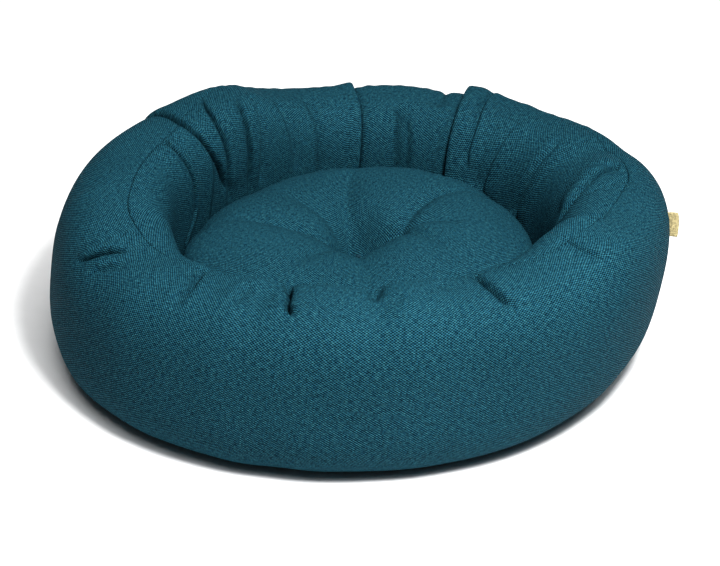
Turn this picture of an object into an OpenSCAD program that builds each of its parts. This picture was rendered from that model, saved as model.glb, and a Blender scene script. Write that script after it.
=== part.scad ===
// Round pet bed: a stuffed ring in a zipped fabric cover round a loose, tufted cushion.
// Millimetres, +Z up. The origin is the centre of the bed on the floor, and -Y is its front.

/* [Bed] */
// Outside diameter of the bed
bed_d = 800; // [780:5:820]
// Height of the ring
bed_h = 234; // [226:1:242]
// Width of the ring's stuffed tube
tube_w = 157; // [150:1:164]
// How square the ring's upper and outer faces are (2 is an ellipse)
tube_squareness = 2.86; // [2.6:0.02:3.1]
// How square the foot of the ring's inner face is
foot_squareness = 2.5; // [2.3:0.05:2.8]

/* [Cushion] */
// Diameter of the loose cushion
cushion_d = 478; // [470:1:479]
// Height of the cushion's crown above the floor
cushion_crown = 152; // [144:1:154]
// Depth of the tufted hollow at the cushion's centre
tuft_depth = 44; // [25:1:46]
// Radius over which the tuft draws the cushion in
tuft_reach = 46; // [35:1:60]
// How square the cushion's edge is (2 is an ellipse)
cushion_squareness = 3.6; // [3:0.1:4]
// Diameter of the twine that tufts the cushion
twine_d = 2.4; // [1.6:0.1:2.8]

/* [Cloth] */
// Thickness of the woven cover cloth
cloth_t = 1.8; // [1.4:0.1:1.8]
// Thickness of the casing that holds the stuffing
casing_t = 0.8; // [0.5:0.1:0.8]
// Thickness of the non-slip base cloth
base_t = 1.6; // [1.2:0.1:1.6]
// Width of the cloth turned in at each seam
seam_turn = 10; // [7:1:12]
// Where the crest seam runs round the ring: 90 is its very top, and more is towards the well
crest_angle = 96; // [91:1:103]
// Place round the ring of the outer wall's joining seam, counted from +X
joining_seam_at = -5; // [-12:1:-4]

/* [Zip] */
// How much of the back the zip opens, in degrees round the bed
zip_span = 120; // [100:5:140]
// Where the zip runs on the outer wall, in degrees below the ring's middle
zip_drop = 40; // [36:1:44]
// Width of one zip tape
zip_tape_w = 12; // [10:1:13]
// Diameter of one coil of the zip's chain
coil_d = 2.2; // [2:0.1:2.3]
// Length of the zip's slider
slider_l = 10; // [9:0.5:12]
// Length of the pull tab
pull_l = 22; // [16:1:23]

/* [Label] */
// Height of the folded side label
label_h = 35; // [25:1:38]
// How far the label stands out from the wall
label_w = 16; // [12:1:18]
// Place of the label up the wall, in degrees above the ring's middle
label_angle = 30; // [27:1:36]

/* [Hidden] */
$fn = 96;

cover_teal = "#2c5563";
lining_teal = "#24454f";
base_black = "#23282c";
casing_white = "#e6e3da";
filling_white = "#f4f3ef";
thread_teal = "#1d3c49";
zip_grey = "#20303a";
metal_grey = "#5d666b";
label_beige = "#c9b98c";

step_a = 6;                           // angle from one outline point to the next
gap = 0.2;                            // free space between two layers of cloth
mid_r = (bed_d - tube_w) / 2;         // radius of the tube's centre line
mid_z = bed_h / 2;
lining_top = 2 * base_t + 2 * gap;    // upper face of the well's floor
turn_in = cloth_t + gap;              // the seam turn-ins lie just under the cloth
turn_t = 1.2;
casing_in = turn_in + turn_t + gap;   // depth of the casing under the cover's face
filling_in = casing_in + casing_t + gap;
foot_outer = -66;                     // where the outer wall meets the base
foot_inner = 250;                     // where the inner wall meets the well's floor

// --- The ring's section: points by angle, at a depth under the cover's face ---

function squircle(a, n) = pow(pow(abs(cos(a)), n) + pow(abs(sin(a)), n), -1 / n);
function squareness(a) = a > 180 ? foot_squareness : tube_squareness;
function tube_point(a, depth) = [
    mid_r + (tube_w / 2 - depth) * squircle(a, squareness(a)) * cos(a),
    mid_z + (bed_h / 2 - depth) * squircle(a, squareness(a)) * sin(a)
];
function lifted(p, floor_z) = [p[0], max(p[1], floor_z)];
function angles(from, to) = [
    let (n = ceil(abs(to - from) / step_a))
    for (i = [0 : n]) from + (to - from) * i / n
];
// Millimetres along the section for one degree at angle a
function per_degree(a) = norm(tube_point(a + 0.5, 0) - tube_point(a - 0.5, 0));

// A layer of the tube's wall between two angles and two depths
module tube_strip(from, to, depth, t) {
    polygon([
        for (a = angles(from, to)) tube_point(a, depth),
        for (a = angles(to, from)) tube_point(a, depth + t)
    ]);
}

// The whole section, flattened where it stands on the floor of the cover
module tube_solid(depth, floor_z) {
    polygon([for (a = angles(foot_outer, foot_outer + 360 - step_a))
        lifted(tube_point(a, depth), floor_z)]);
}

// --- Ring: cover ---

module base_panel() {
    color(base_black) cylinder(r = tube_point(foot_outer, 0)[0], h = base_t);
}

module well_floor_lining() {
    color(lining_teal)
        translate([0, 0, base_t + gap])
            cylinder(r = tube_point(foot_inner, 0)[0] - 1, h = base_t);
}

zip_start = 90 - zip_span / 2;                 // the zip is centred on the back
slot_half = 4.2 / per_degree(-zip_drop);       // half the zip's opening, in section degrees

module outer_wall_panel() {
    color(cover_teal)
        difference() {
            rotate([0, 0, joining_seam_at + 0.04])
                rotate_extrude(angle = 359.92)
                    tube_strip(foot_outer, crest_angle - 0.2, 0, cloth_t);
            rotate([0, 0, zip_start])
                rotate_extrude(angle = zip_span)
                    tube_strip(-zip_drop - slot_half, -zip_drop + slot_half, -1, cloth_t + 2);
        }
}

module inner_wall_panel() {
    color(cover_teal)
        rotate_extrude()
            tube_strip(crest_angle + 0.2, foot_inner, 0, cloth_t);
}

// --- Ring: stuffing ---

module bolster_casing() {
    color(casing_white)
        rotate_extrude()
            difference() {
                tube_solid(casing_in, lining_top + gap);
                tube_solid(casing_in + casing_t, lining_top + gap + casing_t);
            }
}

module bolster_filling() {
    color(filling_white)
        rotate_extrude()
            tube_solid(filling_in, lining_top + 2 * gap + casing_t);
}

// --- Ring: seams, each two turned-in edges with a row of thread between them ---

thread_d = 0.9;

module turned_edges(a, width) {
    reach = width / per_degree(a);
    away = 0.8 / per_degree(a);
    tube_strip(a - reach, a - away, turn_in, turn_t);
    tube_strip(a + away, a + reach, turn_in, turn_t);
}

module seam_thread(a) {
    rotate_extrude()
        translate(tube_point(a, turn_in + turn_t / 2))
            circle(d = thread_d, $fn = 24);
}

base_seam = foot_outer + 9;
floor_seam = foot_inner - 9;

module crest_seam_allowance() {
    color(cover_teal) rotate_extrude() turned_edges(crest_angle, seam_turn);
}

module crest_seam_thread() {
    color(thread_teal) seam_thread(crest_angle);
}

module base_seam_allowance() {
    color(cover_teal) rotate_extrude() turned_edges(base_seam, seam_turn * 0.5);
}

module base_seam_thread() {
    color(thread_teal) seam_thread(base_seam);
}

module floor_seam_allowance() {
    color(cover_teal) rotate_extrude() turned_edges(floor_seam, seam_turn * 0.5);
}

module floor_seam_thread() {
    color(thread_teal) seam_thread(floor_seam);
}

// The wall's ends meet in an upright seam, clear of the seams at its top and foot
join_top = crest_angle - (seam_turn + 1) / per_degree(crest_angle);
join_foot = base_seam + (seam_turn * 0.5 + 1) / per_degree(base_seam);

module upright_strip(from, to) {
    rotate([0, 0, joining_seam_at + from])
        rotate_extrude(angle = to - from)
            tube_strip(join_foot, join_top, turn_in, turn_t);
}

module joining_seam_allowance() {
    turn_a = seam_turn / (bed_d / 2) * 180 / PI;
    color(cover_teal) {
        upright_strip(-turn_a, -0.12);
        upright_strip(0.12, turn_a);
    }
}

module joining_seam_thread() {
    color(thread_teal) upright_strip(-0.07, 0.07);
}

// --- Zip low on the back of the outer wall ---

zip_a = -zip_drop;
coil_apart = coil_d / 2 + 0.1;                 // from the zip's centre line to one coil's
coil_depth = cloth_t - coil_d / 2;
tape_t = 0.8;
end_margin = 0.25;                             // from the slot's end to its stop, in degrees

// Sweeps its children along the zip, less a margin in degrees at each end
module zip_arc(margin) {
    rotate([0, 0, zip_start + margin])
        rotate_extrude(angle = zip_span - 2 * margin)
            children();
}

module zip_tape(side) {
    near = zip_a + side * 0.3 / per_degree(zip_a);
    far = zip_a + side * (zip_tape_w + 0.3) / per_degree(zip_a);
    color(zip_grey) zip_arc(0) tube_strip(near, far, turn_in, tape_t);
}

module zip_tape_upper() {
    zip_tape(1);
}

module zip_tape_lower() {
    zip_tape(-1);
}

module zip_chain() {
    color(zip_grey)
        for (side = [-1, 1])
            zip_arc(2 * end_margin)
                translate(tube_point(zip_a + side * coil_apart / per_degree(zip_a), coil_depth))
                    circle(d = coil_d, $fn = 24);
}

// Places its children at a point of the section, x outwards from the wall and z up along it
module on_wall(around, a, depth) {
    low = tube_point(a - 0.5, 0);
    high = tube_point(a + 0.5, 0);
    p = tube_point(a, depth);
    rotate([0, 0, around])
        translate([p[0], 0, p[1]])
            rotate([0, atan2(high[0] - low[0], high[1] - low[1]), 0])
                children();
}

module zip_end_stops() {
    stop = [2.4, 1.8, 5];
    color(metal_grey)
        for (around = [zip_start + end_margin, zip_start + zip_span - end_margin])
            on_wall(around, zip_a, cloth_t / 2 - 0.1)
                translate([-stop[0] / 2, -stop[1] / 2, -stop[2] / 2])
                    cube(stop);
}

slider_gap = 0.35;                             // free space between the slider and the chain
slider_half = coil_d + slider_gap + 0.9;
plate_t = 1.1;
bar_out = 5.4;                                 // the pull's bar, out from the wall
bar_d = 1.5;
slider_at = zip_start + 3;

// The slider's plate with its two lips, as a section across the chain
module slider_section() {
    top = coil_depth - coil_d / 2 - slider_gap;
    half = slider_half / per_degree(zip_a);
    lip = 0.9 / per_degree(zip_a);
    tube_strip(zip_a - half, zip_a + half, top - plate_t, plate_t);
    for (a = [zip_a - half, zip_a + half - lip])
        tube_strip(a, a + lip, top - plate_t, plate_t + turn_in - 0.3 - top);
}

module zip_slider() {
    arc = slider_l / tube_point(zip_a, 0)[0] * 180 / PI;
    leg_t = 1;
    color(metal_grey) {
        rotate([0, 0, slider_at - arc / 2]) rotate_extrude(angle = arc) slider_section();
        on_wall(slider_at, zip_a, 0) {
            for (y = [-3.4, 2.4])
                translate([1, y, -bar_d / 2]) cube([bar_out - 1, leg_t, bar_d]);
            translate([bar_out, 3.4, 0]) rotate([90, 0, 0]) cylinder(d = bar_d, h = 6.8, $fn = 32);
        }
    }
}

// The pull hangs straight down from the slider's bar
function wall_tilt(a) =
    let (low = tube_point(a - 0.5, 0), high = tube_point(a + 0.5, 0))
    atan2(high[0] - low[0], high[1] - low[1]);
bar_r = tube_point(zip_a, 0)[0] + bar_out * cos(wall_tilt(zip_a));
bar_z = tube_point(zip_a, 0)[1] - bar_out * sin(wall_tilt(zip_a));

module zip_pull_tab() {
    eye_d = 3.6;
    tab_w = 7;
    tab_t = 1.3;
    color(metal_grey)
        rotate([0, 0, slider_at])
            translate([bar_r, 0, bar_z])
                difference() {
                    union() {
                        rotate([90, 0, 0]) cylinder(d = eye_d, h = 4.4, center = true, $fn = 32);
                        translate([-tab_t / 2, -2.2, -5]) cube([tab_t, 4.4, 4.2]);
                        translate([-tab_t / 2, -tab_w / 2, -pull_l + tab_w / 2])
                            cube([tab_t, tab_w, pull_l - tab_w / 2 - 4]);
                        translate([-tab_t / 2, 0, -pull_l + tab_w / 2])
                            rotate([0, 90, 0]) cylinder(d = tab_w, h = tab_t);
                    }
                    rotate([90, 0, 0]) cylinder(d = bar_d + 0.16, h = 6, center = true, $fn = 32);
                }
}

// --- Label: a folded ribbon that stands out of the joining seam ---

label_from_wall = 1;

// Places its children in the section at the label's middle, x out from the wall and y up along it
module at_label() {
    translate(tube_point(label_angle, 0)) rotate(-wall_tilt(label_angle)) children();
}

module label_outline() {
    half = label_h / 2 / per_degree(label_angle);
    intersection() {
        polygon([
            for (a = angles(label_angle - half, label_angle + half)) tube_point(a, -label_from_wall),
            for (a = angles(label_angle + half, label_angle - half)) tube_point(a, -label_w * 1.5)
        ]);
        at_label() translate([-label_w, -label_h / 2]) square([label_w * 2, label_h]);
    }
}

module side_label() {
    ribbon_t = 0.5;
    fold_t = 1.4;
    color(label_beige)
        rotate([90, 0, joining_seam_at])
            difference() {
                linear_extrude(fold_t, center = true) label_outline();
                linear_extrude(fold_t - 2 * ribbon_t, center = true)
                    at_label()
                        translate([-label_w, -label_h])
                            square([label_w * 2 - ribbon_t, label_h * 2]);
            }
}

// --- Cushion: two round panels over a stuffed casing, drawn in at the centre ---

cushion_foot = lining_top + 0.4;
cushion_mid = (cushion_foot + cushion_crown) / 2;
cushion_half = cushion_crown - cushion_mid;
twine_hole = twine_d / 2 + 0.3;
under_tuft = 9;                                // how far the twine lifts the underside

function tuft(r, deep) = deep * exp(-pow(r / tuft_reach, 2));
function cushion_point(a, depth) =
    let (
        n = cushion_squareness,
        r = max(twine_hole, (cushion_d / 2 - depth) * squircle(a, n) * cos(a)),
        rise = (cushion_half - depth) * squircle(a, n) * sin(a)
    )
    [r, cushion_mid + rise - (a > 0 ? tuft(r, tuft_depth) : -tuft(r, under_tuft))];

// Angles from the edge to the centre, closer together over the tuft
function half_angles(side) = [
    for (a = [0.12, 6, 12, 18, 24, 30, 36, 42, 48, 54, 60, 65, 70, 74, 77, 80, 82, 84, 86, 88, 90])
        side * a
];
function reversed(v) = [for (i = [len(v) - 1 : -1 : 0]) v[i]];

module cushion_layer(list, depth, t) {
    polygon([
        for (a = list) cushion_point(a, depth),
        for (a = reversed(list)) cushion_point(a, depth + t)
    ]);
}

module cushion_top_panel() {
    color(cover_teal) rotate_extrude() cushion_layer(half_angles(1), 0, cloth_t);
}

module cushion_underside_panel() {
    color(cover_teal) rotate_extrude() cushion_layer(half_angles(-1), 0, cloth_t);
}

module cushion_casing() {
    all_round = concat(reversed(half_angles(1)), half_angles(-1));
    color(casing_white) rotate_extrude() cushion_layer(all_round, casing_in, casing_t);
}

module cushion_filling() {
    all_round = concat(reversed(half_angles(1)), half_angles(-1));
    color(filling_white)
        rotate_extrude()
            polygon([for (a = all_round) cushion_point(a, filling_in)]);
}

module cushion_seam_allowance() {
    color(cover_teal)
        rotate_extrude() {
            cushion_layer([1.5, 4, 8], turn_in, turn_t);
            cushion_layer([-1.5, -4, -8], turn_in, turn_t);
        }
}

module cushion_seam_thread() {
    color(thread_teal)
        rotate_extrude()
            translate([cushion_d / 2 - turn_in - turn_t / 2, cushion_mid])
                circle(d = thread_d, $fn = 24);
}

module tuft_twine() {
    top = cushion_point(90, 0)[1];
    foot = cushion_point(-90, 0)[1];
    knot_d = 5;
    knot_h = 2;
    clear = 0.2;
    color(thread_teal) {
        translate([0, 0, foot - clear - knot_h / 2])
            cylinder(d = twine_d, h = top - foot + 2 * clear + knot_h);
        for (z = [foot - clear - knot_h / 2, top + clear + knot_h / 2])
            translate([0, 0, z])
                intersection() {
                    sphere(d = knot_d);
                    cube([knot_d, knot_d, knot_h], center = true);
                }
    }
}

base_panel();
well_floor_lining();
outer_wall_panel();
inner_wall_panel();
bolster_casing();
bolster_filling();
crest_seam_allowance();
crest_seam_thread();
base_seam_allowance();
base_seam_thread();
floor_seam_allowance();
floor_seam_thread();
joining_seam_allowance();
joining_seam_thread();
zip_tape_upper();
zip_tape_lower();
zip_chain();
zip_end_stops();
zip_slider();
zip_pull_tab();
side_label();
cushion_top_panel();
cushion_underside_panel();
cushion_casing();
cushion_filling();
cushion_seam_allowance();
cushion_seam_thread();
tuft_twine();
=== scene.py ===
import math
from collections import namedtuple

import bpy
import numpy as np
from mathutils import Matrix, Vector, kdtree


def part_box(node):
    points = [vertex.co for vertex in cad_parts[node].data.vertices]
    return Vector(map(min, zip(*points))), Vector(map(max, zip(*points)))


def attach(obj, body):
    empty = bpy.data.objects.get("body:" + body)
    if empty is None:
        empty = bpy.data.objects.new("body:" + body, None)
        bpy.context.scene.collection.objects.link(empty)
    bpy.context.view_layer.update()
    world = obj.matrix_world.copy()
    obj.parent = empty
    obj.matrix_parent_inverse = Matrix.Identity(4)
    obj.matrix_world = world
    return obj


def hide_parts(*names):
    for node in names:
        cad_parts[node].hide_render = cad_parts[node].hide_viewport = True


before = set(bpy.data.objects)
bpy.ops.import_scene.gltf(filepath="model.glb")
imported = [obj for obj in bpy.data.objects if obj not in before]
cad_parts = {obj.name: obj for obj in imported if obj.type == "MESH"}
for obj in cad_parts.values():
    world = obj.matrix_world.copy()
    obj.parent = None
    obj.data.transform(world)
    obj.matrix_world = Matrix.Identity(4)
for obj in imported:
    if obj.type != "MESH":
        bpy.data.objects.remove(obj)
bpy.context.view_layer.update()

MM = 0.001

# ---------------------------------------------------------------- sizes, in mm, from the frame

outer_low, outer_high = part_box("outer_wall_panel")
BED_R = (outer_high[0] - outer_low[0]) / 2 / MM
BED_H = outer_high[2] / MM
SLACK = 0.99                     # the sewn cover sits a little inside its pattern size
RING_R = BED_R * SLACK
TUBE_W = RING_R * 0.393
TUBE_H = BED_H * SLACK
TRUE_W = BED_R * 0.3925
TRUE_MID_R = BED_R - TRUE_W / 2
MID_Z = TUBE_H / 2
BASE_T = 1.6
CLOTH_T = 1.5
LOWEST = BASE_T + 0.3            # nothing of the cover reaches lower
LINING_TOP = 2 * BASE_T + 0.2
SHIFT = (-8.0, 0.0)              # the filled ring has settled a little towards -X
LEAN = (0.144, -0.018)           # and its top leans, in mm sideways per mm of height
UPPER_SQUARE = 2.84              # how square the section is: 2 is an ellipse
LOWER_SQUARE = 2.89
FOOT_SQUARE = 2.5
EAR_FROM = 243.0                 # from this height up, the tucks' ears are held down,
EAR_ROOM = 7.0                   # by less than this many mm more

# Out-of-round of the hand-filled ring: {waves round: (cosine part, sine part)}
ROUND_WAVES = {2: (0.027, 0.015), 3: (-0.008, -0.005)}
HEIGHT_WAVES = {1: (-0.019, -0.005), 2: (0.019, -0.053)}
# Where the stuffing is fuller or thinner: (degrees round, mm of height), read as a closed curve
RIM = [(0, 0), (12, -1), (20, -6), (29, -2), (38, -5), (47, -7), (55, -2), (62, -1), (70, -8),
       (80, -11), (90, -15), (98, -18), (104, -20), (112, -18), (120, -11), (127, 1), (134, 5),
       (141, 1), (148, -6), (156, -4), (164, -4), (172, -2), (182, 0), (196, -3), (203, -10),
       (208, -17), (213, -16), (217, -14), (220, -9), (226, -8), (232, -3), (237, 1), (242, 5),
       (245, -3), (247, -3), (250, 3), (255, 5), (261, 4), (265, 0), (269, -4), (272, -5),
       (274, 6), (278, 6), (282, 3), (286, 0), (291, -4), (300, -5), (306, -6), (311, -5),
       (315, -2), (319, 4), (323, 12), (329, 8), (336, 2), (345, 0)]

FOOT_OUT = -68.0                 # section angle where the outer wall meets the base
FOOT_IN = 250.0                  # and where the inner wall meets the well's floor
JOIN_AT = -5.0                   # the outer wall's joining seam, in degrees round
ZIP_AT = -40.0                   # the zip's section angle
ZIP_SPAN = (30.0, 150.0)         # and its ends, in degrees round
ZIP_MIDDLE = 90.0


def waves(phi, table):
    return sum(c * np.cos(k * phi) + s * np.sin(k * phi) for k, (c, s) in table.items())


def turn(a, b):
    """Signed degrees from b to a, the short way round."""
    return (a - b + 180.0) % 360.0 - 180.0


def smooth(x):
    x = np.clip(x, 0.0, 1.0)
    return x * x * (3 - 2 * x)


def bell(x, width, power=2):
    """1 at zero, falling away on both sides."""
    return np.exp(-(x / width) ** power)


def unit(v):
    return v / np.maximum(np.linalg.norm(v, axis=-1, keepdims=True), 1e-12)


def lengths_down(points):
    """How far each point of a line, or of a grid's columns, is from the first one."""
    step = np.linalg.norm(np.diff(points, axis=0), axis=-1)
    return np.concatenate([np.zeros((1,) + step.shape[1:]), np.cumsum(step, axis=0)])


def soft_line(at, points, closed=False, blur=13):
    """A smooth line through (position, value) points, read at the positions given."""
    x = np.array([a for a, _ in points], float)
    y = np.array([b for _, b in points], float)
    if closed:
        x, y = np.append(x, x[0] + 360), np.append(y, y[0])
    fine = np.linspace(x[0], x[-1], 361 if closed else 61)
    line = np.interp(fine, x, y)
    n = blur + 2
    kernel = np.hanning(n) / np.hanning(n).sum()
    if closed:
        ends = (line[-n - 1:-1], line[1:n + 1])
    else:
        ends = (2 * line[0] - line[n:0:-1], 2 * line[-1] - line[-2:-n - 2:-1])
    line = np.convolve(np.concatenate([ends[0], line, ends[1]]), kernel, "same")[n:-n]
    return np.interp(np.mod(at, 360) if closed else at, fine, line)


# ---------------------------------------------------------------- the ring's plain form

def squircle(theta):
    c, s = np.abs(np.cos(theta)), np.abs(np.sin(theta))
    n = np.where(np.sin(theta) >= 0, UPPER_SQUARE,
                 np.where(np.cos(theta) >= 0, LOWER_SQUARE, FOOT_SQUARE))
    return (c ** n + s ** n) ** (-1 / n)


def held_true(phi_d, theta_d):
    """Where the zip is sewn in, its tapes hold the wall to the circle that the slider follows."""
    half, side_fade, top, top_fade = 76, 14, 2, 22
    beside = smooth((half - np.abs(turn(phi_d, ZIP_MIDDLE))) / side_fade)
    return beside * smooth((top - theta_d) / top_fade)


def plain_ring(phi_d, theta_d):
    """Points of the ring without its folds: degrees round, degrees up the section."""
    phi, theta = np.radians(phi_d), np.radians(theta_d)
    radius = RING_R * (1 + waves(phi, ROUND_WAVES))
    height = TUBE_H * (1 + waves(phi, HEIGHT_WAVES))
    height = height + soft_line(phi_d, RIM, closed=True, blur=7)
    s = squircle(theta)
    r = radius - TUBE_W / 2 + TUBE_W / 2 * s * np.cos(theta)
    z = height / 2 + height / 2 * s * np.sin(theta)
    z = np.maximum(z, LOWEST)
    x = r * np.cos(phi) + LEAN[0] * (z - MID_Z) + SHIFT[0]
    y = r * np.sin(phi) + LEAN[1] * (z - MID_Z) + SHIFT[1]
    slumped = np.stack(np.broadcast_arrays(x, y, z), axis=-1)
    r = TRUE_MID_R + TRUE_W / 2 * s * np.cos(theta)
    z = np.maximum(BED_H / 2 + BED_H / 2 * s * np.sin(theta), LOWEST)
    true = np.stack(np.broadcast_arrays(r * np.cos(phi), r * np.sin(phi), z), axis=-1)
    held = np.broadcast_to(held_true(phi_d, theta_d), slumped.shape[:-1])[..., None]
    return slumped * (1 - held) + true * held


# ---------------------------------------------------------------- seams and folds

# The crest seam's route: (degrees round, degrees up the section), read as a closed curve
CREST = [(0, 82), (9, 78), (18, 78), (27, 72), (38, 64), (60, 60), (90, 59), (120, 61),
         (132, 70), (139, 82), (145, 92), (152, 102), (159, 108), (172, 107), (184, 104),
         (191, 99), (196, 96), (203, 100), (212, 107), (225, 113), (250, 117), (270, 118),
         (295, 117), (308, 111), (318, 101), (330, 97.5), (338, 97.5), (345, 95), (352, 91)]


def crest_angle(phi_d):
    return soft_line(phi_d, CREST, closed=True)


# A fold: its route as (section degrees, degrees round); depth and half width of the crease; the
# roll on its +turn side and on its -turn side, each (height, width, lean over the crease); the
# share of a wide hollow; the length of its fading ends, in section degrees; and how much wider
# the crease is on the side that does not hang over it
FLAT = (0, 10, 0)
Fold = namedtuple("Fold", "route depth width up down wide fade far",
                  defaults=(FLAT, FLAT, 0.3, 10, 1.2))
LIP = 1.5                        # where a roll is highest, in half widths from its crease
HUNG = 0.9                       # how wide the crease is on the side that hangs over it
HOLLOW = 3.2                     # how wide its hollow is, in half widths
GATHER = 0.3                     # how far it draws the cloth in, as a share of its depth

FOLDS = [
    # tucks that pinch the back's crest and stand up as ears
    Fold([(45, 65.5), (60, 65.5), (84, 64.5), (112, 63), (132, 61.5), (143, 61), (168, 59.5),
          (200, 58)], 14, 4.8, down=(11, 22, 6), fade=14),
    Fold([(60, 59), (85, 58.5), (112, 56.5), (132, 54.5), (160, 53)], 6, 5, down=(5, 12, 3)),
    Fold([(40, 94.5), (65, 94), (83, 94), (105, 93.2), (123, 92.5), (148, 91.5), (200, 90)],
         13, 4.0, up=(9, 9, 5), down=(0, 7, 0), wide=0.35, fade=12),
    Fold([(30, 71), (60, 71), (90, 70.5), (115, 69.5)], 7, 6, wide=0.5, fade=16),
    # the left side's big tucks
    Fold([(34, 147.5), (60, 148), (82, 149), (102, 150.8), (115, 151.8), (127, 151.6),
          (139, 150.3), (149, 148.4), (158, 146), (175, 144)],
         13, 4, up=(3, 16, 0), down=(6.5, 15, 3), fade=12, far=1.4),
    Fold([(76, 138), (100, 141.5), (117, 143.5), (132, 144.2), (148, 143.5), (160, 142.7),
          (185, 142)], 8, 4.5, down=(5, 12, 3), up=(3, 8, 0), fade=24),
    Fold([(106, 162), (113, 162.4), (127, 163), (136, 162.7), (147, 161.2), (158, 160.2),
          (168, 159.7), (178, 160), (188, 163), (205, 165)],
         16, 4.5, up=(9, 24, 0), down=(7, 6, 4), fade=12, far=1.6),
    Fold([(95, 132), (117, 133.7), (131, 134.5), (148, 134.2), (159, 133.5), (190, 133)],
         7, 4, down=(5, 11, 2), fade=26),
    Fold([(95, 126), (105, 126.7), (124, 127.7), (146, 128.7), (180, 129)], 6, 4.5,
         up=(3, 8, 0)),
    Fold([(105, 118.5), (120, 119), (150, 116), (170, 114)], 5, 6, up=(2.5, 10, 0)),
    Fold([(92, 108.5), (112, 108), (140, 106), (165, 105), (185, 104)], 8, 7,
         up=(3, 14, 0), wide=0.45, fade=20),
    # the right side's pocket and creases
    Fold([(82, 8.4), (98, 7.2), (109, 5.7), (118, 2.3), (127, -1.2), (135, -4.5), (150, -7)],
         22, 5.5, up=(8, 22, 4.5), down=(5, 22, 0), fade=12, far=1.5),
    Fold([(76, -2), (92, -1.8), (111, -5), (122, -8)], 6, 5, down=(3, 12, 0)),
    Fold([(92, -25), (102, -25), (118, -27.7), (127, -28), (150, -20), (170, -8)],
         10, 5.5, down=(7, 16, 4), fade=12),
    Fold([(55, -39.5), (66, -40.7), (78, -41.2), (97, -40.5), (110, -40)], 6, 6,
         up=(3, 14, 1), down=(1, 9, 0), wide=0.4, fade=16),
    Fold([(62, 19), (80, 19.5), (95, 20)], 4, 7, fade=14),
    Fold([(86, 25.2), (106, 24), (122, 23.7), (136, 24.7), (154, 26), (185, 29)], 9, 5,
         down=(6, 12, 3), up=(2, 9, 0), fade=12),
    Fold([(105, 30.5), (120, 28), (133, 27.8), (146, 28), (160, 29), (185, 32)], 6, 4.5,
         up=(3, 9, 0)),
    Fold([(80, 44), (104, 45), (130, 44.2), (147, 44), (180, 45)], 8, 5, down=(6, 14, 3),
         fade=13),
    Fold([(108, 52), (130, 50), (150, 49), (175, 49)], 4, 6),
    # the soft pair at the back
    Fold([(108, 81.5), (122, 80.7), (136, 79.2), (148, 78.7), (163, 77.5), (190, 77)], 10, 7,
         up=(5, 10, 1), wide=0.45, fade=20, far=1.6),
    Fold([(122, 77.6), (130, 77.4), (144, 75.4), (163, 74), (190, 73.5)], 4, 6,
         down=(2, 12, 0), fade=16),
    # short puckers along the front crest
    Fold([(40, 202.5), (47, 203.7), (56, 205), (63, 205.7), (70, 206.5), (82, 208)],
         14, 5.4, up=(5, 10, 1), down=(9, 9, 5), fade=11),
    Fold([(44, 207), (54, 209), (64, 210.5), (74, 212)], 7, 4.5, down=(5, 7, 1), fade=9),
    Fold([(52, 230.5), (70, 229.4), (80, 228.7), (106, 225.5), (120, 224)], 11, 8,
         up=(6, 14, 0), down=(6, 18, 0), wide=0.4, fade=18),
    Fold([(60, 241.5), (75, 241.3), (107, 240.5)], 7, 9, down=(4, 12, 0), wide=0.45, fade=18),
    Fold([(60, 254.5), (69, 252.5), (78, 251), (85, 250.5), (98, 249.7), (114, 247.8),
          (130, 247)], 16, 7, up=(6, 14, 1), down=(7, 14, 3), wide=0.4, fade=14),
    Fold([(86, 270), (96, 269.8), (109, 270), (125, 270)], 9, 9, up=(5, 12, 0),
         down=(5, 16, 0), wide=0.5, fade=18),
    Fold([(72, 275), (95, 274)], 3, 5),
    Fold([(88, 286), (112, 286)], 5, 5),
    Fold([(52, 298.2), (62, 296.6), (75, 296), (91, 295.7), (101, 295.7), (125, 295.5)],
         12, 6.5, up=(5, 18, 2), down=(5, 18, 0), wide=0.45, fade=20),
    # creases that the photographed side hides: the outer back is nearly smooth
    Fold([(20, 182), (50, 184), (78, 183)], 2, 9, up=(1, 10, 0), fade=20),
    Fold([(25, 318), (48, 322), (60, 326)], 2, 8, fade=16),
    Fold([(125, 222), (150, 221), (185, 220)], 5, 5, up=(2, 8, 1), fade=14),
    Fold([(125, 262), (155, 262), (190, 261)], 5, 5, down=(2, 8, 1), fade=14),
    Fold([(125, 309), (150, 310), (185, 310)], 6, 5, up=(3, 9, 1), fade=14),
    Fold([(118, 185), (140, 186), (180, 187)], 5, 5, up=(2, 9, 1), fade=12),
    Fold([(115, 332), (150, 335), (185, 336)], 4, 5, up=(2, 8, 1), fade=12),
]


def round_mm(theta_d):
    """Millimetres round the ring for one degree, at a section angle."""
    r = RING_R - TUBE_W / 2 + TUBE_W / 2 * np.cos(np.radians(theta_d)) * 0.95
    return r * math.pi / 180


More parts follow.
